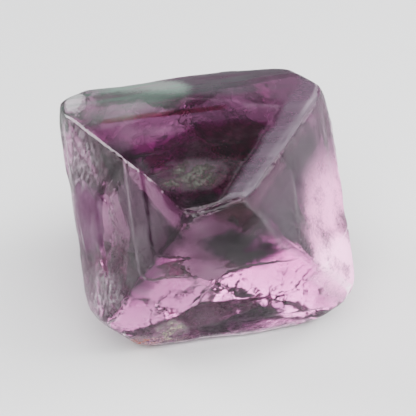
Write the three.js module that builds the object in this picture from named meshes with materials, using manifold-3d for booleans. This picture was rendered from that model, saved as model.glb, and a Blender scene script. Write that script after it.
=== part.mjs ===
// A cleavage octahedron of fluorite: one solid stone, split out of a larger crystal along the
// mineral's four cleavage directions and lying on one of the eight faces that this leaves.
//
// Units are millimetres and +Z is up. The origin is on the resting face, straight under the
// stone's centre. One corner points to the front (-Y) and up, so the four faces that meet there
// are the ones a viewer sees from the front and above.

import * as THREE from "three";
import { mergeVertices } from "three/addons/utils/BufferGeometryUtils.js";
import Module from "manifold-3d";

const wasm = await Module();
wasm.setup();

// ---------------------------------------------------------------- driving dimensions

const EDGE = 20; // an edge of the ideal octahedron
const EDGE_WEAR = 0.12; // how far a worn edge lies inside the sharp one
const CORNER_FACET = 0.5; // about how long the facets of a worn corner are
const CHIP_FACET = 0.4; // about how long the facets of a chip are

// How far each face was split outside (+) or inside (-) the ideal one. The top and front faces
// lie deeper than the left and right ones, so the four meet in a short ridge, not in a point,
// and so do the four at the back.
const FACE_SHIFT = {
  top: -0.8,
  front: -0.35,
  left: 0.2,
  right: 1.2,
  base: 0.3,
  back: 0.7,
  leftBack: 0,
  rightBack: -1.2,
};

// How far from the centre the worn corners end. Sharp ones would lie 14.1 mm out.
const CORNER_REACH = {
  front: 14.1,
  back: 12.9,
  upperRight: 12.4,
  lowerLeft: 11.5,
  upperLeft: 13.4,
  lowerRight: 12.7,
};

// Which side of the three corner axes (front, right, left) each face lies on.
const FACE_SIDES = {
  top: [1, 1, 1],
  front: [1, -1, -1],
  left: [1, -1, 1],
  right: [1, 1, -1],
  base: [-1, -1, -1],
  back: [-1, 1, 1],
  leftBack: [-1, -1, 1],
  rightBack: [-1, 1, -1],
};

// ---------------------------------------------------------------- crystal axes and faces

const faceDistance = EDGE / Math.sqrt(6); // centre to face, in the ideal octahedron

// The three upper corners lie at right angles to each other, a third of a turn apart about Z.
const cornerRise = Math.asin(1 / Math.sqrt(3));
const cornerAxis = (turnDeg) => {
  const turn = THREE.MathUtils.degToRad(turnDeg);
  return new THREE.Vector3(
    Math.cos(cornerRise) * Math.cos(turn),
    Math.cos(cornerRise) * Math.sin(turn),
    Math.sin(cornerRise),
  );
};
const frontAxis = cornerAxis(-90);
const rightAxis = cornerAxis(30);
const leftAxis = cornerAxis(150);

// A direction or point given along the front, right and left axes.
const alongAxes = ([front, right, left]) =>
  new THREE.Vector3()
    .addScaledVector(frontAxis, front)
    .addScaledVector(rightAxis, right)
    .addScaledVector(leftAxis, left);

const faces = Object.entries(FACE_SIDES).map(([name, sides]) => ({
  name,
  normal: alongAxes(sides).normalize(),
  distance: faceDistance + FACE_SHIFT[name],
}));
const face = Object.fromEntries(faces.map((f) => [f.name, f]));

// The point where a ray from the centre leaves the cleaved stone.
function surfacePoint(axes) {
  const ray = alongAxes(axes).normalize();
  const reach = faces
    .filter((f) => f.normal.dot(ray) > 0)
    .map((f) => f.distance / f.normal.dot(ray));
  return ray.multiplyScalar(Math.min(...reach));
}

// ---------------------------------------------------------------- solids to cut with

function solidFrom(geometry) {
  geometry.deleteAttribute("normal");
  geometry.deleteAttribute("uv");
  const merged = mergeVertices(geometry, 1e-4);
  return new wasm.Manifold(
    new wasm.Mesh({
      numProp: 3,
      vertProperties: merged.attributes.position.array,
      triVerts: new Uint32Array(merged.index.array),
    }),
  );
}

// A block that fills all the space near the stone beyond a plane.
function beyond(normal, distance) {
  const side = 4 * EDGE;
  const block = new THREE.BoxGeometry(side, side, side);
  block.translate(0, 0, side / 2 + distance);
  block.applyQuaternion(
    new THREE.Quaternion().setFromUnitVectors(
      new THREE.Vector3(0, 0, 1),
      normal,
    ),
  );
  return solidFrom(block);
}

// An egg with its three half lengths along the corner axes and facets of about the given length.
function egg(halfFront, halfRight, halfLeft, facet) {
  const longest = Math.max(halfFront, halfRight, halfLeft);
  const geometry = new THREE.IcosahedronGeometry(1, Math.ceil((1.05 * longest) / facet));
  geometry.scale(halfFront, halfRight, halfLeft);
  geometry.applyMatrix4(
    new THREE.Matrix4().makeBasis(frontAxis, rightAxis, leftAxis),
  );
  return geometry;
}

// Even random numbers from 0 to 1, the same ones on every run.
const random = (() => {
  let state = 20;
  return () => {
    state = (1664525 * state + 1013904223) % 2 ** 32;
    return state / 2 ** 32;
  };
})();

// ---------------------------------------------------------------- the stone, cut by cut

let stone = solidFrom(new THREE.BoxGeometry(2 * EDGE, 2 * EDGE, 2 * EDGE));

function cleaveFaces() {
  for (const { normal, distance } of faces)
    stone = stone.subtract(beyond(normal, distance));
}

// Cleavage steps: a thin layer of one face came away. It ends at risers that follow other
// cleavage planes, each given as the face it is parallel to and how far in from that face.
function splitLayer(name, depth, risers) {
  let layer = beyond(face[name].normal, face[name].distance - depth);
  for (const [parallelTo, inset] of risers) {
    const riser = face[parallelTo];
    layer = layer.intersect(beyond(riser.normal, riser.distance - inset));
  }
  stone = stone.subtract(layer);
}

function splitLayers() {
  splitLayer("top", 0.22, [["back", 1.5]]);
  splitLayer("top", 0.4, [["back", 0.7]]);
  splitLayer("top", 0.16, [["back", 3.6], ["right", 7.5]]);
  splitLayer("left", 0.25, [["leftBack", 1.1]]);
  splitLayer("left", 0.14, [["leftBack", 3.1], ["front", 5.6]]);
  splitLayer("left", 0.3, [["front", 1.2], ["leftBack", 5.2]]);
  splitLayer("right", 0.4, [["top", 8.2]]);
  splitLayer("right", 0.55, [["rightBack", 1.5], ["top", 5.8]]);
  splitLayer("front", 0.18, [["base", 1.9], ["right", 6.2]]);
  splitLayer("front", 0.3, [["left", 1.5], ["base", 4.1]]);
  splitLayer("back", 0.24, [["rightBack", 2.2]]);
  splitLayer("back", 0.15, [["leftBack", 4.0], ["top", 5.5]]);
  splitLayer("leftBack", 0.22, [["base", 2.4], ["back", 7.0]]);
  splitLayer("leftBack", 0.12, [["left", 3.8]]);
  splitLayer("rightBack", 0.28, [["base", 1.4]]);
  splitLayer("rightBack", 0.14, [["back", 4.2], ["right", 6.0]]);
}

// Tumbling against other stones has taken the sharpness off every edge, along a narrow flat.
function wearEdges() {
  const shareAnEdge = (a, b) =>
    FACE_SIDES[a.name].filter((side, i) => side === FACE_SIDES[b.name][i])
      .length === 2;
  faces.forEach((a, i) =>
    faces.slice(i + 1).forEach((b, j) => {
      if (!shareAnEdge(a, b)) return;
      const across = a.normal.clone().add(b.normal);
      const sharp = (a.distance + b.distance) / across.length();
      const unevenness = 1 + 0.4 * Math.sin(3 * i + 5 * j);
      const wear = EDGE_WEAR * unevenness;
      stone = stone.subtract(beyond(across.normalize(), sharp - wear));
    }),
  );
}

// All six corners are blunt, some more than others: they end on an off-centre egg.
function bluntCorners() {
  const reach = CORNER_REACH;
  const half = (a, b) => (a + b) / 2;
  const shift = (a, b) => (a - b) / 2;
  const outline = egg(
    half(reach.front, reach.back),
    half(reach.upperRight, reach.lowerLeft),
    half(reach.upperLeft, reach.lowerRight),
    CORNER_FACET,
  );
  const centre = alongAxes([
    shift(reach.front, reach.back),
    shift(reach.upperRight, reach.lowerLeft),
    shift(reach.upperLeft, reach.lowerRight),
  ]);
  outline.translate(...centre.toArray());
  stone = stone.intersect(solidFrom(outline));
}

// A shell-shaped hollow where an egg of about that radius bites into the surface. The place is
// given along the corner axes, and lean tips the egg away from straight outward.
function bite(axes, radius, depth, lean = [0, 0, 0]) {
  const place = surfacePoint(axes);
  const outward = place.clone().normalize().add(alongAxes(lean)).normalize();
  const stretch = [0.8 + 0.4 * random(), 0.8 + 0.4 * random(), 0.8 + 0.4 * random()];
  const hollow = egg(...stretch.map((share) => share * radius), CHIP_FACET);
  const support = Math.hypot(
    outward.dot(frontAxis) * stretch[0],
    outward.dot(rightAxis) * stretch[1],
    outward.dot(leftAxis) * stretch[2],
  ) * radius; // how far the egg reaches towards the stone
  hollow.translate(
    ...place.addScaledVector(outward, support - depth).toArray(),
  );
  stone = stone.subtract(solidFrom(hollow));
}

function biteFaces() {
  bite([1, 0.05, 0.17], 5, 0.42, [-0.1, 0.45, 0.45]); // hollow behind the ridge, on the top face
  bite([1, -0.08, -0.33], 9, 0.12, [0, -0.3, -0.35]); // shallow scar on the front face
  bite([-0.45, -0.3, 1], 5, 0.1); // three on the faces and edges round the back
  bite([-0.7, -0.8, 0], 5, 0.1);
  bite([-0.6, 1, -0.2], 6, 0.12);
}

// A flat break across a corner or an edge, square to a direction given along the corner axes.
function breakOff(axes, distance) {
  stone = stone.subtract(beyond(alongAxes(axes).normalize(), distance));
}

function breakCornersAndEdges() {
  // lower left corner, the largest loss
  breakOff([0.16, -1, -0.12], 11.2);
  breakOff([0.42, -1, 0.22], 11.55);
  breakOff([-0.2, -1, 0.36], 11.35);
  // upper right corner
  breakOff([0.2, 1, 0.3], 12.15);
  breakOff([-0.3, 1, -0.25], 11.9);
  // lower right corner
  breakOff([0.34, 0.2, -1], 12.2);
  breakOff([-0.25, -0.3, -1], 12.0);
  // upper left corner
  breakOff([0.25, -0.05, 1], 13.15);
  // back corner
  breakOff([-1, 0.3, -0.2], 12.3);
  breakOff([-1, -0.35, 0.15], 12.4);
  // the edges from the front corner to the right ones
  breakOff([1, 1.1, 0.2], 10.25);
  breakOff([1, 0.14, -1], 10.6);
  // edges round the back
  breakOff([-1, 0.1, 1.15], 10.3);
  breakOff([-1, -0.9, -0.12], 10.2);
  breakOff([-0.14, -1, -0.95], 10.2);
}

cleaveFaces();
splitLayers();
wearEdges();
bluntCorners();
breakCornersAndEdges();
biteFaces();

// ---------------------------------------------------------------- the part

function geometryOf(solid) {
  const { vertProperties, triVerts } = solid.getMesh();
  const geometry = new THREE.BufferGeometry();
  geometry.setAttribute("position", new THREE.BufferAttribute(vertProperties, 3));
  geometry.setIndex(new THREE.BufferAttribute(triVerts, 1));
  geometry.computeVertexNormals();
  return geometry;
}

const lilacFluorite = new THREE.MeshStandardMaterial({
  color: 0xc79fc4,
  roughness: 0.25,
  metalness: 0,
});

const crystal = new THREE.Mesh(geometryOf(stone), lilacFluorite);
crystal.name = "fluorite_crystal";
crystal.position.z = face.base.distance;

const part = new THREE.Group();
part.add(crystal);

export default part;
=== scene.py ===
import math

import bmesh
import bpy
from mathutils import Matrix, Vector
from mathutils.bvhtree import BVHTree


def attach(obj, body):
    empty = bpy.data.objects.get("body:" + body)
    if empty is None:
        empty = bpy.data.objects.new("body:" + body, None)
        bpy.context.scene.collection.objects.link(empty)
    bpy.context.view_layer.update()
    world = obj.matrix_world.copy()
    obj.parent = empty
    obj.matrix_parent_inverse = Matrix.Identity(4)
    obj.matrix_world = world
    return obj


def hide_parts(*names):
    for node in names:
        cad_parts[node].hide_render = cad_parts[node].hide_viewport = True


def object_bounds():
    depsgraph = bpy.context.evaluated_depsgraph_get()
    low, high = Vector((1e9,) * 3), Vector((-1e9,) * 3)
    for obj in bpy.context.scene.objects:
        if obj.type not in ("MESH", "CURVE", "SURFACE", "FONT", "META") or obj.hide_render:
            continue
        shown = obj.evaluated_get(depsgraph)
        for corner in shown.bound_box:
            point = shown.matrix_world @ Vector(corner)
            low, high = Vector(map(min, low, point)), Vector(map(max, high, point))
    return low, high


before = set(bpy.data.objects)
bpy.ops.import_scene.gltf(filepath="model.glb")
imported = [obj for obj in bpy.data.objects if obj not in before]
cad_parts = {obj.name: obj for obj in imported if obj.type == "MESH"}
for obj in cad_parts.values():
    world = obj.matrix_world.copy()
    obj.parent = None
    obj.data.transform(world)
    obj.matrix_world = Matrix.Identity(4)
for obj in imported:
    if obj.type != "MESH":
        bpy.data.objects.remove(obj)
cad_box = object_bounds()

# ---------------------------------------------------------------- the stone's outside
# One piece of fluorite, split out of a larger crystal along its four cleavage directions. The
# faces are cleavage faces with low terraces, and handling has rounded the edges and frosted them.

MM = 0.001
CENTRE_HEIGHT = 8.465 * MM
CORNER_RISE = math.asin(1 / math.sqrt(3))


def corner_axis(turn):
    """A direction from the centre to one of the three upper corners, turned that far about Z."""
    flat = math.cos(CORNER_RISE)
    angle = math.radians(turn)
    return Vector((flat * math.cos(angle), flat * math.sin(angle), math.sin(CORNER_RISE)))


# The stone lies on one face with a corner towards the viewer, so three corners rise from it.
front_axis = corner_axis(-90)
right_axis = corner_axis(30)
left_axis = corner_axis(150)
crystal_turn = Matrix((front_axis, right_axis, left_axis)).to_euler()


class Wire:
    """An output of a node. Arithmetic on it adds the Math nodes that do the sum."""

    def __init__(self, tree, socket):
        self.tree = tree
        self.socket = socket

    def node(self, kind, settings=None, values=None, output=0):
        """Adds a node, sets it up, fills its inputs and gives one of its outputs."""
        made = self.tree.nodes.new(kind)
        for name, value in (settings or {}).items():
            setattr(made, name, value)
        for key, value in (values or {}).items():
            if isinstance(value, Wire):
                self.tree.links.new(value.socket, made.inputs[key])
            else:
                made.inputs[key].default_value = value
        return Wire(self.tree, made.outputs[output])

    def math(self, operation, *values):
        return self.node("ShaderNodeMath", {"operation": operation}, dict(enumerate(values)))

    def __add__(self, other):
        return self.math("ADD", self, other)

    __radd__ = __add__

    def __sub__(self, other):
        return self.math("SUBTRACT", self, other)

    def __rsub__(self, other):
        return self.math("SUBTRACT", other, self)

    def __mul__(self, other):
        return self.math("MULTIPLY", self, other)

    __rmul__ = __mul__

    def __truediv__(self, other):
        return self.math("DIVIDE", self, other)

    def __abs__(self):
        return self.math("ABSOLUTE", self)

    def at_least(self, other):
        return self.math("MAXIMUM", self, other)

    def at_most(self, other):
        return self.math("MINIMUM", self, other)


def link(wire, socket):
    wire.tree.links.new(wire.socket, socket)


def vector(wire, operation, *values, output=0):
    return wire.node("ShaderNodeVectorMath", {"operation": operation}, dict(enumerate(values)), output)


def scaled(direction, factor):
    """A vector made longer or shorter by a wire or a number. Either of the two may be plain."""
    start = direction if isinstance(direction, Wire) else factor
    values = {0: direction, "Scale": factor}
    return start.node("ShaderNodeVectorMath", {"operation": "SCALE"}, values)


def dot(wire, other):
    return vector(wire, "DOT_PRODUCT", wire, other, output=1)


def part(wire, index):
    """One of the three numbers of a place or a colour."""
    return wire.node("ShaderNodeSeparateXYZ", values={0: wire}, output=index)


def ramp(wire, low, high):
    """0 below the low value, 1 above the high one, and smooth between."""
    settings = {"interpolation_type": "SMOOTHSTEP"}
    values = {"Value": wire, "From Min": low, "From Max": high}
    return wire.node("ShaderNodeMapRange", settings, values)


def noise(where, scale, detail=2.0, roughness=0.5, output=0):
    """Smooth noise from 0 to 1, or with output 1 three noises as a colour."""
    values = {"Vector": where, "Scale": scale, "Detail": detail, "Roughness": roughness}
    return where.node("ShaderNodeTexNoise", values=values, output=output)


def stretched(where, scale):
    """The same place with each crystal direction scaled, to draw a pattern out along the others."""
    return vector(where, "MULTIPLY", where, scale)


def near(where, point, reach):
    """1 at a point and 0 beyond a reach, in the units of where."""
    return 1 - ramp(vector(where, "DISTANCE", where, point, output=1), 0.0, reach)


def blend(wire, share, first, second):
    """A colour between two others, each a wire or plain red, green and blue."""

    def full(colour):
        return colour if isinstance(colour, Wire) else (*colour, 1)

    values = {"Factor": share, 6: full(first), 7: full(second)}
    return wire.node("ShaderNodeMix", {"data_type": "RGBA"}, values, output=2)


def shader(name):
    """A new material. Gives it, its Principled shader, and the place on the piece as a wire."""
    material = bpy.data.materials.new(name)
    material.use_nodes = True
    tree = material.node_tree
    coordinates = tree.nodes.new("ShaderNodeTexCoord")
    return material, tree.nodes["Principled BSDF"], Wire(tree, coordinates.outputs["Object"])


def tinted(material, keeps, depth):
    """Light keeps that share of its red, green and blue over a depth in mm of the material."""
    losses = [-math.log(share) / (depth * MM) for share in keeps]
    # A colour in a volume says what isn't lost, so the density is a little over the largest loss.
    density = max(losses) * 1.02
    tree = material.node_tree
    volume = tree.nodes.new("ShaderNodeVolumeAbsorption")
    volume.inputs["Color"].default_value = (*[1 - loss / density for loss in losses], 1)
    volume.inputs["Density"].default_value = density
    tree.links.new(volume.outputs[0], tree.nodes["Material Output"].inputs["Volume"])


# The clear body of the stone: it bends light less than window glass, and is lilac in depth.
FLUORITE_IOR = 1.434
STONE_KEEPS = (0.31, 0.125, 0.245)
STONE_DEPTH = 16

clear_stone, glass, spot = shader("lilac_fluorite")
glass.inputs["IOR"].default_value = FLUORITE_IOR
glass.inputs["Transmission Weight"].default_value = 1
glass.inputs["Base Color"].default_value = (1, 1, 1, 1)
tinted(clear_stone, STONE_KEEPS, STONE_DEPTH)

# Places in the stone, in mm: along its three upper corners, and across and up from the front.
from_centre = vector(spot, "SUBTRACT", spot, (0, 0, CENTRE_HEIGHT))
in_crystal = spot.node(
    "ShaderNodeMapping",
    values={"Vector": from_centre, "Rotation": crystal_turn, "Scale": (1 / MM, 1 / MM, 1 / MM)},
)
front, right, left = [part(in_crystal, i) for i in range(3)]
across = (right - left) / math.sqrt(2)
up = (right + left) / math.sqrt(2)
height = part(spot, 2)

# A face is where the places along the three corners add up, with its signs, to its distance.
FACE_SIGNS = {"top": (1, 1), "front": (-1, -1), "left": (-1, 1), "right": (1, -1)}
FACE_FADE = 0.6


def on_face(face, starts):
    """1 on a face and 0 away from it, from a distance in mm where it starts to count."""
    right_sign, left_sign = FACE_SIGNS[face]
    return ramp(front + right_sign * right + left_sign * left, starts, starts + FACE_FADE)


on_top = on_face("top", 11.6)
on_left = on_face("left", 13.5)
on_right = on_face("right", 14.6)
on_front = on_face("front", 12.6)

# Patterns: wide clouds, fine grit, flecks drawn out one way, and silk, which waves the surface.
cloud = noise(in_crystal, 0.35, 4)
grit = noise(in_crystal, 5.0, 6, 0.7)
flecks = noise(stretched(in_crystal, (1.0, 0.35, 1.0)), 3.2, 5, 0.65)
speckle = grit + 0.5 * flecks
broken = ramp(noise(stretched(in_crystal, (1.0, 0.6, 1.0)), 1.1, 3), 0.42, 0.58)
patches = ramp(cloud + 0.3 * grit, 0.6, 0.85)
ragged = 1.4 * (cloud - 0.5) + 0.8 * (grit - 0.5)
drift = noise(in_crystal, 0.6, output=1)
drifting = vector(in_crystal, "ADD", in_crystal, stretched(drift, (1.6, 1.6, 1.6)))
silk = (
    noise(stretched(drifting, (2.0, 0.4, 0.4)), 0.62, 1)
    + noise(stretched(drifting, (0.4, 2.0, 0.4)), 0.8, 1)
    + noise(stretched(drifting, (0.4, 0.4, 2.0)), 0.95, 1)
)

# Growth bands run across the stone, so they change quickly going up and slowly going across.
band_place = spot.node("ShaderNodeCombineXYZ", values={0: 0.12 * across, 1: 1.5 * up, 2: 0.3 * front})
bands = ramp(noise(band_place, 1.0, 4, 0.6), 0.36, 0.64)


def oval(place, size):
    """1 at a place seen from the front and 0 beyond a ragged oval round it, in mm across and up."""
    x = (across + ragged - place[0]) / size[0]
    y = (up + 0.7 * ragged - place[1]) / size[1]
    return 1 - ramp(x * x + y * y, 0.1, 1.0)


# Frost, where handling bruised the edges: most of it on the outer rims and round the foot, and
# least along the ridge between the top and right faces and on the terraces of the top face.
RIDGE_PLACE = -1.73
wear = spot.node("ShaderNodeAttribute", {"attribute_name": "wear"}, output=2)
edge_wear = spot.node("ShaderNodeAttribute", {"attribute_name": "edge_wear"}, output=2)
calm = (1 - ramp(abs(left - RIDGE_PLACE), 0.4, 1.4)) * ramp(up, -1.0, 1.0)
frost = ramp(wear * (0.25 + 1.3 * ramp(grit, 0.3, 0.75)) + 0.4 * cloud, 0.6, 1.3)
inner_top = on_top * ramp(up + across, -0.7, 0.1) * ramp(up, 0.3, 1.0)
frost = frost * (1 - 0.9 * calm) * (1 - 0.9 * inner_top) * ramp(edge_wear, 0.12, 0.42)
right_rim = ramp(across, 6.5, 9.0)
low_rim = ramp(-1.0 * up, 6.0, 9.0)
top_rim = 0.3 * ramp(up, 8.8, 10.2)
rims = right_rim.at_least(low_rim).at_least(top_rim)
rim_frost = rims * ramp(edge_wear, 0.02, 0.35) * (0.45 + 0.55 * ramp(grit + 0.6 * cloud, 0.65, 0.95))
rim_frost = rim_frost * (1 - 0.8 * calm)

# The far edge of the right face and the lower edge of the front face are chipped in places.
side_edge = on_right * (1 - ramp(front + 0.9 * ragged, 1.7, 2.2)) * ramp(up, -8.0, -6.0)
low_edge = on_front * (1 - ramp(front + 0.8 * ragged, -0.5, 0.2)) * ramp(across, -4.0, -2.0)
chipped = side_edge.at_least(low_edge) * ramp(speckle + 0.5 * cloud, 0.75, 1.15)
rim_frost = rim_frost.at_least(0.7 * chipped)
foot = (1 - ramp(height, 0.25 * MM, 0.8 * MM)) * ramp(flecks + 0.5 * grit + 0.15 * on_front, 0.6, 0.9)
rim_frost = rim_frost.at_least(0.8 * foot)

# Marks, each in its place: flecks on the left face, a dark grey green patch in the hollow of the
# top face, a painted grey green reflection and painted shade in bands above it, a painted pink glow
# and a painted highlight at the lower right corner, and rust and lichen on the lower left rim.
left_flecks = on_left * oval((-9.1, 4.6), (2.6, 3.6)) * ramp(flecks, 0.45, 0.62)
low_flecks = on_left * oval((-8.1, -5.4), (2.0, 2.4)) * ramp(flecks, 0.4, 0.7)
# A dark grey green patch in the hollow of the top face, broken up by speckle.
hollow_patch = on_top * oval((-0.8, 2.0), (2.7, 1.3)) * ramp(speckle + 0.5 * cloud, 0.7, 1.3)
hollow_patch = hollow_patch * (0.15 + 0.85 * broken)
# Painted reflection: a dim grey green patch standing in for green surroundings seen in the top face,
# darkened as painted shade.
painted_reflection = on_top * oval((-5.8, 8.1), (6.6, 2.1))
painted_reflection = painted_reflection.at_least(near(in_crystal, (1.8, -0.6, 12.0), 2.6) * ramp(flecks, 0.35, 0.6))
# Painted shade: a dark veil over the top face beside and above the purple zone, where the top face looks
# out at dark surroundings.
past_purple = ramp(0.75 * across - 0.66 * up + 0.5 * ragged, 0.3, 1.0)
above_purple = ramp(up + 0.25 * across + 0.7 * ragged, 7.2, 8.4)
painted_shade = on_top * past_purple.at_least(above_purple)
# Painted light: a pink glow and a painted highlight at the lower right corner, where light reflected
# inside the stone comes out.
painted_glow = oval((8.8, -2.6), (3.2, 6.0)) * ramp(cloud + 0.35 * grit, 0.45, 0.8)
painted_highlight = oval((8.6, -5.6), (2.8, 2.8)) * ramp(cloud + 0.35 * grit, 0.4, 0.7)
rust = oval((-6.1, -9.2), (2.2, 0.7)) * ramp(speckle, 0.6, 0.9)
lichen = oval((-3.7, -8.6), (1.3, 1.1)) * ramp(speckle, 0.55, 0.95) * (0.3 + 0.7 * broken)

# Silk waves the clear surface, least on the front face, and flecks roughen it in patches and on
# the left face.
SILK_DEPTH = 0.034 * MM
bump = spot.node(
    "ShaderNodeBump",
    values={
        "Height": silk * (1 - 0.4 * on_front) + (0.04 * patches + 0.12 * on_left) * flecks,
        "Distance": SILK_DEPTH,
        "Strength": 1.0,
    },
)
roughness = 0.05 + 0.06 * patches + 0.06 * on_right + 0.3 * frost + 0.2 * rim_frost
link(roughness, glass.inputs["Roughness"])
link(bump, glass.inputs["Normal"])

# The skin is everything on the surface that scatters light: frost, dirt and painted light.
# Painted shade on the right face: its skin is dark. Further down, painted shade, a painted reflection, a
# painted glow and a painted highlight are mixed in.
skin_colour = blend(spot, on_right, (0.72, 0.64, 0.71), (0.17, 0.14, 0.17))
painted_shade_colour = blend(spot, bands, (0.13, 0.085, 0.115), (0.105, 0.1, 0.11))
painted_shade_colour = blend(spot, past_purple, painted_shade_colour, (0.12, 0.095, 0.12))
skin_colour = blend(spot, ramp(painted_shade, 0.0, 0.3), skin_colour, painted_shade_colour)
painted_reflection_colour = blend(spot, bands, (0.26, 0.24, 0.25), (0.18, 0.24, 0.21))
skin_colour = blend(spot, ramp(painted_reflection, 0.0, 0.4), skin_colour, painted_reflection_colour)
skin_colour = blend(spot, ramp(hollow_patch, 0.0, 0.3), skin_colour, (0.19, 0.205, 0.18))
skin_colour = blend(spot, painted_glow, skin_colour, (0.93, 0.4, 0.7))
skin_colour = blend(spot, painted_highlight, skin_colour, (1.0, 0.5, 0.8))
skin_colour = blend(spot, rim_frost, skin_colour, (0.98, 0.82, 0.93))
skin_colour = blend(spot, lichen, skin_colour, (0.55, 0.56, 0.3))
skin_colour = blend(spot, rust, skin_colour, (0.3, 0.07, 0.015))
skin_values = {"Base Color": skin_colour, "Roughness": 0.6, "Normal": bump}
skin = spot.node("ShaderNodeBsdfPrincipled", values=skin_values)

# How much skin covers the clear surface: dark skin on the right face as painted shade, and the painted
# glow, highlight, reflection and shade in their places.
haze = 0.02 + 0.06 * patches + 0.28 * on_right + 0.38 * painted_glow + 0.45 * painted_highlight
haze = haze + 0.28 * left_flecks + 0.35 * low_flecks + 0.5 * hollow_patch
haze = haze + (0.26 + 0.2 * bands) * painted_reflection
haze = haze + (0.38 + 0.16 * bands + 0.25 * ramp(up, 7.5, 9.2) + 0.2 * past_purple) * painted_shade
cover = haze + 0.55 * frost + 0.85 * rim_frost + 0.8 * rust + 0.6 * lichen
clear_body = Wire(clear_stone.node_tree, glass.outputs[0])
surface = spot.node("ShaderNodeMixShader", values={0: cover.at_most(0.9), 1: clear_body, 2: skin})
link(surface, clear_stone.node_tree.nodes["Material Output"].inputs["Surface"])

# The stone's mesh starts as an even grid over the CAD shape, fine enough to carry its terraces.
STONE_GRID = 0.15 * MM
JOIN_REACH = 0.001 * MM

start = bpy.data.objects.new("stone_start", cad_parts["fluorite_crystal"].data.copy())
bpy.context.scene.collection.objects.link(start)
start.modifiers.new("weld", "WELD").merge_threshold = JOIN_REACH
remesh = start.modifiers.new("remesh", "REMESH")
remesh.mode = "VOXEL"
remesh.voxel_size = STONE_GRID
even_mesh = bpy.data.meshes.new_from_object(start.evaluated_get(bpy.context.evaluated_depsgraph_get()))
bpy.data.objects.remove(start)


def shape_tree(name, sizes):
    """A Geometry Nodes tree with a geometry input and named sizes. Gives the tree and its inputs."""
    tree = bpy.data.node_groups.new(name, "GeometryNodeTree")
    faces = tree.interface
    faces.new_socket("Geometry", in_out="INPUT", socket_type="NodeSocketGeometry")
    for size, kind in sizes.items():
        faces.new_socket(size, in_out="INPUT", socket_type=kind)
    faces.new_socket("Geometry", in_out="OUTPUT", socket_type="NodeSocketGeometry")
    first = tree.nodes.new("NodeGroupInput")
    return tree, {socket.name: Wire(tree, socket) for socket in first.outputs if socket.name}


def end_tree(geometry, material):
    """The tree's last nodes: what was instanced becomes real, and gets its material."""
    real = geometry.node("GeometryNodeRealizeInstances", values={0: geometry})
    dressed = real.node("GeometryNodeSetMaterial", values={0: real, "Material": material})
    link(dressed, geometry.tree.nodes.new("NodeGroupOutput").inputs[0])


def grown(name, start_mesh, tree, sizes):
    """An object whose plain mesh is what the tree makes of a start mesh."""
    piece = bpy.data.objects.new(name, start_mesh)
    bpy.context.scene.collection.objects.link(piece)
    modifier = piece.modifiers.new("shape", "NODES")
    modifier.node_group = tree
    for item in tree.interface.items_tree:
        if item.in_out == "INPUT" and item.name in sizes:
            modifier[item.identifier] = sizes[item.name]
    seen = piece.evaluated_get(bpy.context.evaluated_depsgraph_get())
    plain = bpy.data.meshes.new_from_object(seen)
    piece.modifiers.remove(modifier)
    piece.data = plain
    plain.name = name
    return piece


def blurred(value, rounds, weight=1.0, kind="FLOAT_VECTOR"):
    values = {"Value": value, "Iterations": rounds, "Weight": weight}
    return value.node("GeometryNodeBlurAttribute", {"data_type": kind}, values)


def stored(geometry, name, value):
    """The geometry with a number kept at each of its points, for the material to read."""
    settings = {"data_type": "FLOAT", "domain": "POINT"}
    values = {0: geometry, "Name": name, "Value": value}
    return geometry.node("GeometryNodeStoreNamedAttribute", settings, values)


tree, size = shape_tree(
    "worn_cleavage",
    {
        "Rounding": "NodeSocketInt",
        "Terrace Depth": "NodeSocketFloat",
        "Terrace Width": "NodeSocketFloat",
        "Nick Depth": "NodeSocketFloat",
        "Grain Depth": "NodeSocketFloat",
        "Blunting": "NodeSocketFloat",
    },
)
place = size["Geometry"].node("GeometryNodeInputPosition")
normal = place.node("GeometryNodeInputNormal")
centred = vector(place, "SUBTRACT", place, (0, 0, CENTRE_HEIGHT))
along = [dot(centred, tuple(axis / MM)) for axis in (front_axis, right_axis, left_axis)]
where = place.node("ShaderNodeCombineXYZ", values=dict(enumerate(along)))

# Rounding is strong at two corners, at the front tip and at the end of a layer, each with its
# reach in mm and its strength. The upper left edge kept its sharpness.
ROUNDED_PLACES = [
    ((-1.0, 11.0, 0.5), 6.0, 1.0, 0.6),
    ((0.5, 1.5, -11.0), 6.0, 1.0, 0.6),
    ((13.5, 0, -0.5), 3.5, 0.7, 0.8),
    ((4.6, 3.4, -8.2), 3.5, 0.25, 0.6),
]
softness = 0.02 + 0.15 * ramp(noise(where, 0.25, 2), 0.4, 0.65)
for worn_spot, reach, strength, full in ROUNDED_PLACES:
    softness = softness.at_least(strength * ramp(near(where, worn_spot, reach), 0.0, full))
sharp = ramp(near(where, (6.0, -0.9, 7.8), 9.0), 0.0, 0.4)
softness = softness * (1 - 0.97 * sharp)
rounded = blurred(place, size["Rounding"], softness)

# What stood out before the rounding is what wears, and the material frosts it.
lost = vector(place, "SUBTRACT", place, blurred(place, 4))
stood_out = dot(lost, normal) / (0.12 * MM)
wide_lost = vector(place, "SUBTRACT", place, blurred(place, 36))
edge = ramp(dot(wide_lost, normal) / MM, 0.08, 0.28)
nicks = edge * ramp(noise(where, 1.1, 3, 0.6), 0.5, 0.7) * (1 - 0.8 * sharp)

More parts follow.
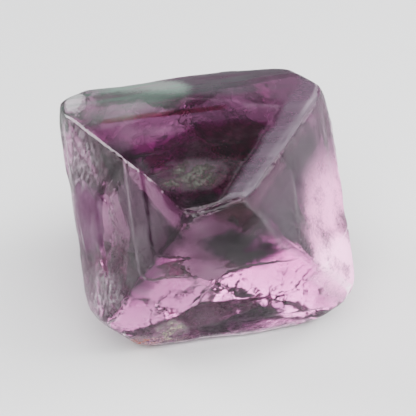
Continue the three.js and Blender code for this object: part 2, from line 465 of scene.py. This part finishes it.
# Terraces end at straight lines along the crystal's directions. The middle of the top face is
# nearly free of them.
plain_top = ramp(near(where, (3.4, 4.2, 5.1), 4.5), 0.0, 0.5)
levels = None
for i, axis in enumerate(along):
    bent = axis + 0.25 * noise(where, 0.4, 2)
    cells = bent.node(
        "ShaderNodeTexVoronoi",
        {"voronoi_dimensions": "1D"},
        {"W": bent / (size["Terrace Width"] / MM) + 17.3 * i, "Scale": 1.0, "Randomness": 1.0},
        output=1,
    )
    levels = part(cells, 0) if levels is None else levels.at_most(part(cells, 0))
inward = (
    size["Terrace Depth"] * blurred(levels * (1 - 0.85 * plain_top), 3, kind="FLOAT")
    + size["Grain Depth"] * noise(where, 1.6, 3)
    + size["Nick Depth"] * blurred(nicks, 1, kind="FLOAT")
)
blunted = scaled(tuple(-1.0 * front_axis), size["Blunting"] * ramp(along[0], 11.6, 13.2))
worn = vector(rounded, "ADD", rounded, scaled(normal, -1.0 * inward))
worn = vector(worn, "ADD", worn, blunted)
above_floor = vector(worn, "MAXIMUM", worn, (-1, -1, 0))
marked = stored(size["Geometry"], "wear", stood_out.at_least(0.0).at_most(1.0))
marked = stored(marked, "edge_wear", edge)
placed = marked.node("GeometryNodeSetPosition", values={0: marked, "Position": above_floor})
end_tree(placed.node("GeometryNodeSetShadeSmooth", values={0: placed}), clear_stone)

stone = grown(
    "fluorite_stone",
    even_mesh,
    tree,
    {
        "Rounding": 150,
        "Terrace Depth": 0.16 * MM,
        "Terrace Width": 1.9 * MM,
        "Nick Depth": 0.25 * MM,
        "Grain Depth": 0.04 * MM,
        "Blunting": 0.5 * MM,
    },
)
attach(stone, "root")
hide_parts("fluorite_crystal")

# ---------------------------------------------------------------- zones under the top face
# Zones sealed inside the stone: the same fluorite with more colour in it. Under the top face they
# are a deep purple growth zone, a thin pink line above it, and a grey zone of painted shade along
# its rim.

# How far each face is from the stone's centre in mm, how a line of sight runs on inside the stone
# along its three upper corners, and how much clear fluorite covers every zone.
FACE_DISTANCES = {"top": 7.365, "front": 7.815, "left": 8.365, "right": 9.365}
RAY_FALL = 0.9397
RAY_SPREAD = 0.2423
ZONE_COVER = 0.2 * MM
ZONE_CUTS = 4
ZONE_GRAIN = 900
from_crystal = Matrix((front_axis, right_axis, left_axis)).transposed()
stone_surface = BVHTree.FromPolygons(
    [point.co for point in stone.data.vertices],
    [face.vertices for face in stone.data.polygons],
)


def under(face, across, up, depth):
    """A point that far in mm under a face, behind a place on it seen from the front, in metres."""
    right_sign, left_sign = FACE_SIGNS[face]
    right = (up + across) / math.sqrt(2)
    left = (up - across) / math.sqrt(2)
    front = FACE_DISTANCES[face] * math.sqrt(3) - right_sign * right - left_sign * left
    ray = Vector((-RAY_FALL, -RAY_SPREAD * right_sign, -RAY_SPREAD * left_sign))
    inward = ray * (depth * math.sqrt(3) / (RAY_FALL + 2 * RAY_SPREAD))
    return from_crystal @ (Vector((front, right, left)) + inward) * MM + Vector((0, 0, CENTRE_HEIGHT))


def slab(name, face, outline, depths, taper):
    """A closed slab under a face. Its outline has (across, up) points, seen from the front."""
    count = len(outline)
    middle = [sum(point[i] for point in outline) / count for i in range(2)]
    points = [under(face, x, y, first) for (x, y), (first, last) in zip(outline, depths)]
    for (x, y), (first, last) in zip(outline, depths):
        x += (middle[0] - x) * taper
        y += (middle[1] - y) * taper
        points.append(under(face, x, y, last))
    faces = [list(range(count)), list(range(2 * count - 1, count - 1, -1))]
    for i in range(count):
        j = (i + 1) % count
        faces.append([j, i, i + count, j + count])
    made = bpy.data.meshes.new(name)
    made.from_pydata(points, [], faces)
    shape = bmesh.new()
    shape.from_mesh(made)
    bmesh.ops.recalc_face_normals(shape, faces=shape.faces)
    shape.to_mesh(made)
    shape.free()
    return made


def tint(name, keeps, depth):
    """A clear material that keeps that share of red, green and blue over a depth in mm."""
    material, body, _ = shader(name)
    body.inputs["IOR"].default_value = 1
    body.inputs["Roughness"].default_value = 0
    body.inputs["Transmission Weight"].default_value = 1
    body.inputs["Base Color"].default_value = (1, 1, 1, 1)
    tinted(material, keeps, depth)
    return material


def uneven_tree(material):
    """A tree that cuts a slab's faces fine and makes them wander, as a growth zone's edge does."""
    tree, size = shape_tree(
        "uneven_" + material.name,
        {"Levels": "NodeSocketInt", "Unevenness": "NodeSocketFloat", "Grain": "NodeSocketFloat"},
    )
    cut = size["Geometry"].node("GeometryNodeTriangulate", values={0: size["Geometry"]})
    fine = cut.node("GeometryNodeSubdivideMesh", values={0: cut, "Level": size["Levels"]})
    wander = noise(fine.node("GeometryNodeInputPosition"), size["Grain"], 3, output=1)
    shift = scaled(vector(wander, "SUBTRACT", wander, (0.5, 0.5, 0.5)), size["Unevenness"])
    end_tree(fine.node("GeometryNodeSetPosition", values={0: fine, "Offset": shift}), material)
    return tree


def keep_inside(mesh):
    """Draws points of a mesh that come too near the stone's surface in towards its centre."""
    centre = Vector((0, 0, CENTRE_HEIGHT))
    for point in mesh.vertices:
        outward = (point.co - centre).normalized()
        surface_distance = stone_surface.ray_cast(centre, outward)[3]
        if (point.co - centre).length > surface_distance - ZONE_COVER:
            point.co = centre + outward * (surface_distance - ZONE_COVER)


def zone(name, face, outline, depths, material, unevenness=0.5, taper=0.15):
    """A zone sealed under a face, between two depths in mm for all its points or for each."""
    if len(depths) == 1:
        depths = depths * len(outline)
    start = slab(name, face, outline, depths, taper)
    sizes = {"Levels": ZONE_CUTS, "Unevenness": unevenness * MM, "Grain": ZONE_GRAIN}
    piece = grown(name, start, uneven_tree(material), sizes)
    keep_inside(piece.data)
    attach(piece, "root")


zone(
    "purple_zone",
    "top",
    [(-5.5, 4.6), (-2.75, 4.8), (-1.2, 5.1), (0.1, 5.7), (2.8, 5.5), (4.95, 4.95), (2.7, 2.1),
     (2.2, 0.8), (0.6, 0.0), (-0.9, 0.3)],
    [(0.8, 1.6), (0.8, 2.0), (0.8, 2.6), (0.8, 5.0), (0.8, 6.4), (0.8, 6.0), (0.8, 6.4),
     (0.8, 5.2), (0.8, 2.8), (0.8, 1.6)],
    tint("deep_purple", (0.6, 0.06, 0.44), 3),
)
zone(
    "pink_band",
    "top",
    [(-7.0, 6.9), (-2.8, 6.85), (2.4, 6.6), (2.4, 6.3), (-2.8, 6.45), (-6.6, 6.5)],
    [(0.6, 1.8)],
    tint("pink_line", (0.7, 0.16, 0.36), 1.2),
    unevenness=0.3,
)
# Painted shade: a grey zone that darkens the upper strip of the top face.
zone(
    "top_shade",
    "top",
    [(-7.6, 8.9), (-3.0, 9.2), (2.0, 9.4), (7.0, 9.2), (8.2, 8.2), (3.0, 7.9), (-2.0, 7.7), (-7.4, 7.8)],
    [(0.5, 1.8)],
    tint("grey_violet", (0.36, 0.34, 0.36), 1.5),
)

# ---------------------------------------------------------------- zones under the left face
# Two more zones behind the left face: a clear lilac growth zone along its outer edge, and a grey
# mauve zone of painted shade that runs down its middle to the lower left corner.

zone(
    "lilac_zone",
    "left",
    [(-9.1, 3.6), (-7.0, 2.3), (-7.3, -1.2), (-8.3, -3.2), (-9.8, -2.6)],
    [(0.7, 3.0)],
    tint("lilac", (0.54, 0.22, 0.52), 2),
)
# Painted shade: a grey mauve zone that darkens the middle of the left face.
zone(
    "left_shade",
    "left",
    [(-6.9, 5.0), (-5.5, 4.0), (-4.0, 1.5), (-2.6, -0.4), (-2.2, -1.2), (-3.9, -3.0), (-6.6, -6.2),
     (-5.9, -3.2), (-5.4, -1.2), (-6.0, 1.6)],
    [(0.7, 2.8)],
    tint("grey_mauve", (0.42, 0.33, 0.42), 2),
)

# ---------------------------------------------------------------- smoke under the front face
# Dark wisps in the pale front part of the stone: one of the same growth below the front tip, in a
# wider grey patch, and a dark zone along the foot. Their lower sides are smaller, so their ends fade.

smoke = tint("smoke", (0.06, 0.03, 0.065), 1.5)
zone(
    "front_smoke",
    "front",
    [(-1.2, -2.2), (1.2, -1.9), (3.0, -2.6), (4.8, -3.6), (3.0, -4.4), (1.4, -4.2), (-0.4, -3.4)],
    [(0.6, 1.5)],
    smoke,
    unevenness=0.9,
    taper=0.4,
)
zone(
    "front_haze",
    "front",
    [(-2.8, -1.8), (0.0, -0.7), (3.2, -1.6), (6.0, -3.6), (3.4, -4.9), (0.6, -4.6), (-1.6, -3.6)],
    [(1.6, 3.0)],
    tint("grey_lilac", (0.6, 0.5, 0.59), 1.5),
    unevenness=0.9,
    taper=0.3,
)
# A dark zone along the foot, making the front face darker towards the bottom.
zone(
    "low_smoke",
    "front",
    [(-2.0, -8.6), (0.6, -8.0), (3.2, -7.4), (4.9, -7.6), (4.4, -8.6), (1.6, -9.3), (-1.6, -9.6)],
    [(0.6, 1.3)],
    smoke,
    unevenness=0.9,
    taper=0.4,
)

# ---------------------------------------------------------------- haze under the right face
# The right part of the stone is dim inside: a wide mauve haze from the tip to the upper right
# corner, and a small darker purple patch in the middle of the ridge to the lower right corner.

zone(
    "right_haze",
    "right",
    [(2.6, -1.0), (4.6, 1.1), (6.8, 3.3), (8.6, 4.9), (8.2, 2.4), (7.4, -0.5), (6.6, -3.0), (4.4, -1.9)],
    [(0.7, 3.0)],
    tint("dim_mauve", (0.46, 0.34, 0.45), 2),
    unevenness=0.6,
    taper=0.3,
)
zone(
    "right_shade",
    "right",
    [(3.6, -0.9), (5.6, -1.1), (6.2, -2.0), (4.6, -2.6), (3.3, -1.8)],
    [(1.2, 2.6)],
    tint("dim_purple", (0.45, 0.22, 0.42), 1.5),
    unevenness=0.7,
    taper=0.3,
)

# ---------------------------------------------------------------- floor, lights and camera
# A pale paper floor and a dim room, with a large softbox overhead. Low strips behind the stone
# light it from inside, and two more lights on the viewer's side pick out its rims.

FLOOR_HALF = 0.6
FLOOR_DROP = 0.02 * MM
floor_mesh = bpy.data.meshes.new("floor")
floor_corners = [(x * FLOOR_HALF, y * FLOOR_HALF, 0) for x, y in ((-1, -1), (1, -1), (1, 1), (-1, 1))]
floor_mesh.from_pydata(floor_corners, [], [(0, 1, 2, 3)])
floor = bpy.data.objects.new("floor", floor_mesh)
bpy.context.scene.collection.objects.link(floor)
floor.location.z = -FLOOR_DROP
floor_paint, floor_shader, _ = shader("pale_floor")
floor_shader.inputs["Base Color"].default_value = (0.66, 0.66, 0.66, 1)
floor_shader.inputs["Roughness"].default_value = 0.6
floor_mesh.materials.append(floor_paint)

world = bpy.data.worlds.new("studio")
bpy.context.scene.world = world
world.use_nodes = True
room = world.node_tree.nodes["Background"]
room.inputs["Color"].default_value = (0.92, 0.94, 1, 1)
room.inputs["Strength"].default_value = 0.22


def soft_light(name, azimuth, height, distance, size, radiance):
    """A softbox, wide and tall, that faces the stone from that side, azimuth 0 being the viewer's."""
    lamp = bpy.data.lights.new(name, "AREA")
    lamp.shape = "RECTANGLE"
    lamp.size, lamp.size_y = size
    lamp.energy = radiance * math.pi * size[0] * size[1]
    holder = bpy.data.objects.new(name, lamp)
    bpy.context.scene.collection.objects.link(holder)
    turn, rise = math.radians(azimuth), math.radians(height)
    back = Vector((math.sin(turn) * math.cos(rise), -math.cos(turn) * math.cos(rise), math.sin(rise)))
    holder.location = back * distance
    holder.rotation_euler = back.to_track_quat("Z", "Y").to_euler()


soft_light("overhead", 10, 62, 0.5, (0.6, 0.5), 3.4)
soft_light("left_strip", -118, 22, 0.4, (0.16, 0.28), 7)
soft_light("right_strip", 113, 20, 0.4, (0.16, 0.2), 3)
soft_light("rim", 75, 42, 0.4, (0.2, 0.2), 8)
soft_light("low_front", 12, 14, 0.4, (0.4, 0.12), 4)

CAMERA_RISE = math.radians(36)
CAMERA_ROLL = math.radians(-8)
LENS = 100
STONE_SHARE = 0.66
low, high = cad_box
camera_data = bpy.data.cameras.new("camera")
camera_data.lens = LENS
camera_data.clip_start = 0.005
camera = bpy.data.objects.new("camera", camera_data)
bpy.context.scene.collection.objects.link(camera)
bpy.context.scene.camera = camera
back = Vector((0, -math.cos(CAMERA_RISE), math.sin(CAMERA_RISE)))
distance = (high.x - low.x) / STONE_SHARE * LENS / camera_data.sensor_width
camera.location = (low + high) / 2 + back * distance
turn = back.to_track_quat("Z", "Y").to_matrix() @ Matrix.Rotation(CAMERA_ROLL, 3, "Z")
camera.rotation_euler = turn.to_euler()

# Light goes through many surfaces of the stone and its zones before it comes out.
bpy.context.scene.cycles.max_bounces = 24
bpy.context.scene.cycles.transmission_bounces = 24
bpy.context.scene.view_settings.view_transform = "AgX"
bpy.context.scene.view_settings.look = "AgX - High Contrast"
